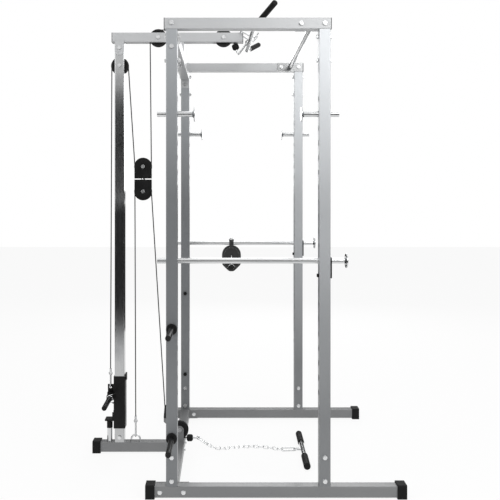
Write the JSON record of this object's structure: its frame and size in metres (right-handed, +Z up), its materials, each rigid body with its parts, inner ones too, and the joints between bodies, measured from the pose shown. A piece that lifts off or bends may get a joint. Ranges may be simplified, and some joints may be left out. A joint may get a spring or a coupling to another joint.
{
  "type": "power cage",
  "caption": "Perforated square-tube power cage with safety bars, bar hooks, a pull-up bar and a plate-loaded lat pulldown and low row tower with cables and pulleys.",
  "frame": {"origin": "on the floor, midway along the overall length and on the mid-plane between the two side frames", "axes": "+X towards the open front of the cage, the lat tower is at -X; +Y towards the far side frame; +Z up"},
  "size_m": [1.496, 1.58, 2.2466],
  "materials": {
    "powder_coat": "satin",
    "chrome": "polished",
    "zinc": "bright",
    "black_paint": "satin",
    "pad_cover": "woven",
    "rubber": "matte",
    "black_plastic": "matte",
    "cable_jacket": "gloss"
  },
  "bodies": {
    "frame": {"base_rail_near": "powder_coat", "base_rail_far": "powder_coat", "rear_upright_near": "powder_coat", "rear_upright_far": "powder_coat", "front_upright_near": "powder_coat", "front_upright_far": "powder_coat", "top_rail_near": "powder_coat", "top_rail_far": "powder_coat", "foot_caps": "rubber", "end_plugs": "black_plastic", "tube_joiners": "zinc", "rear_top_beam": "powder_coat", "rear_base_beam": "powder_coat", "pull_up_bar": "chrome", "frame_bolts": "zinc", "plate_posts": "black_paint", "tower_base_beam": "powder_coat", "guide_post": "chrome", "tower_boom": "powder_coat", "boom_saddle": "powder_coat", "low_pulley_bracket": "powder_coat", "stop_post": "chrome", "rubber_buffers": "rubber", "cable_anchor": "zinc", "bar_clip": "zinc", "cable_fixed": "cable_jacket", "cable_upper_runs": "cable_jacket", "hanging_pad": "pad_cover"},
    "carriage": {"carriage_sleeve": "black_paint", "carriage_bushes": "black_plastic", "carriage_peg_bar": "black_paint", "carriage_hook": "zinc", "cable_carriage_run": "cable_jacket"},
    "collar_near": {"spring_collar_near": "chrome"},
    "collar_far": {"spring_collar_far": "chrome"},
    "lat_bar": {"lat_bar": "chrome", "lat_rubber": "rubber", "lat_hook": "zinc", "cable_lat_run": "cable_jacket"},
    "floating_block": {"block_housings": "black_paint", "block_axles": "zinc", "cable_block_wraps": "cable_jacket", "cable_lower_runs": "cable_jacket"},
    "block_upper_pulley": {"block_upper_pulley": "black_plastic"},
    "block_lower_pulley": {"block_lower_pulley": "black_plastic"},
    "tower_pulley": {"tower_pulley": "black_plastic"},
    "boom_rear_pulley": {"boom_rear_pulley": "black_plastic"},
    "boom_front_pulley": {"boom_front_pulley": "black_plastic"},
    "low_pulley": {"low_pulley": "black_plastic"},
    "row_bar": {"row_bar": "chrome", "row_rubber": "rubber", "row_links": "zinc"},
    "safety_bar_near": {"safety_bar_near": "chrome", "safety_lock_near": "black_paint"},
    "safety_bar_far": {"safety_bar_far": "chrome", "safety_lock_far": "black_paint"},
    "rear_hook_near": {"rear_bar_hook_near": "chrome"},
    "rear_hook_far": {"rear_bar_hook_far": "chrome"},
    "front_hook_near": {"front_bar_hook_near": "chrome"},
    "front_hook_far": {"front_bar_hook_far": "chrome"}
  },
  "joints": [
    {"name": "carriage_slide", "type": "slide", "parent": "frame", "child": "carriage", "axis": [0, 0, 1], "range_m": [0, 1.15], "deforming": ["cable_carriage_run"]},
    {"name": "lat_pull", "type": "slide", "parent": "frame", "child": "lat_bar", "axis": [0, 0, -1], "range_m": [0, 1.15]},
    {"name": "block_drop", "type": "slide", "parent": "frame", "child": "floating_block", "axis": [0, 0, -1], "range_m": [0, 0.25], "stiffness_N_per_m": 100, "springref_m": -0.4, "deforming": ["cable_lower_runs"]},
    {"name": "row_pull", "type": "slide", "parent": "frame", "child": "row_bar", "axis": [1, 0, 0], "range_m": [0, 0.5]},
    {"name": "tower_pulley_spin", "type": "hinge", "parent": "frame", "child": "tower_pulley", "pos_m": [-0.608, 0, 2.024], "axis": [0, 1, 0], "range_deg": [-1529, 1529]},
    {"name": "boom_rear_pulley_spin", "type": "hinge", "parent": "frame", "child": "boom_rear_pulley", "pos_m": [-0.407, 0, 2.171], "axis": [0, 1, 0], "range_deg": [-1529, 1529]},
    {"name": "boom_front_pulley_spin", "type": "hinge", "parent": "frame", "child": "boom_front_pulley", "pos_m": [-0.065, 0, 2.171], "axis": [0, 1, 0], "range_deg": [-1529, 1529]},
    {"name": "block_upper_pulley_spin", "type": "hinge", "parent": "floating_block", "child": "block_upper_pulley", "pos_m": [-0.487, 0, 1.497], "axis": [0, 1, 0], "range_deg": [-1529, 1529]},
    {"name": "block_lower_pulley_spin", "type": "hinge", "parent": "floating_block", "child": "block_lower_pulley", "pos_m": [-0.487, 0, 1.366], "axis": [0, 1, 0], "range_deg": [-337, 337]},
    {"name": "low_pulley_spin", "type": "hinge", "parent": "frame", "child": "low_pulley", "pos_m": [-0.295, 0, 0.116], "axis": [0, 1, 0], "range_deg": [-668, 668]},
    {"name": "safety_near_slide", "type": "slide", "parent": "frame", "child": "safety_bar_near", "axis": [1, 0, 0], "range_m": [0, 0.78]},
    {"name": "safety_far_slide", "type": "slide", "parent": "frame", "child": "safety_bar_far", "axis": [1, 0, 0], "range_m": [0, 0.78]},
    {"name": "rear_hook_near_slide", "type": "slide", "parent": "frame", "child": "rear_hook_near", "axis": [1, 0, 0], "range_m": [0, 0.1]},
    {"name": "rear_hook_far_slide", "type": "slide", "parent": "frame", "child": "rear_hook_far", "axis": [1, 0, 0], "range_m": [0, 0.1]},
    {"name": "front_hook_near_slide", "type": "slide", "parent": "frame", "child": "front_hook_near", "axis": [-1, 0, 0], "range_m": [0, 0.1]},
    {"name": "front_hook_far_slide", "type": "slide", "parent": "frame", "child": "front_hook_far", "axis": [-1, 0, 0], "range_m": [0, 0.1]},
    {"name": "collar_near_slide", "type": "slide", "parent": "carriage", "child": "collar_near", "axis": [0, -1, 0], "range_m": [0, 0.19]},
    {"name": "collar_far_slide", "type": "slide", "parent": "carriage", "child": "collar_far", "axis": [0, 1, 0], "range_m": [0, 0.19]}
  ],
  "couplings": [
    {"joint": "lat_pull", "follows": "carriage_slide", "ratio": 1},
    {"joint": "tower_pulley_spin", "follows": "carriage_slide", "rad_per_m": 23.121},
    {"joint": "boom_rear_pulley_spin", "follows": "carriage_slide", "rad_per_m": 23.121},
    {"joint": "boom_front_pulley_spin", "follows": "carriage_slide", "rad_per_m": 23.121},
    {"joint": "block_upper_pulley_spin", "follows": "carriage_slide", "rad_per_m": -23.121},
    {"joint": "row_pull", "follows": "block_drop", "ratio": 2},
    {"joint": "block_lower_pulley_spin", "follows": "block_drop", "rad_per_m": 23.121},
    {"joint": "low_pulley_spin", "follows": "block_drop", "rad_per_m": -46.243}
  ]
}
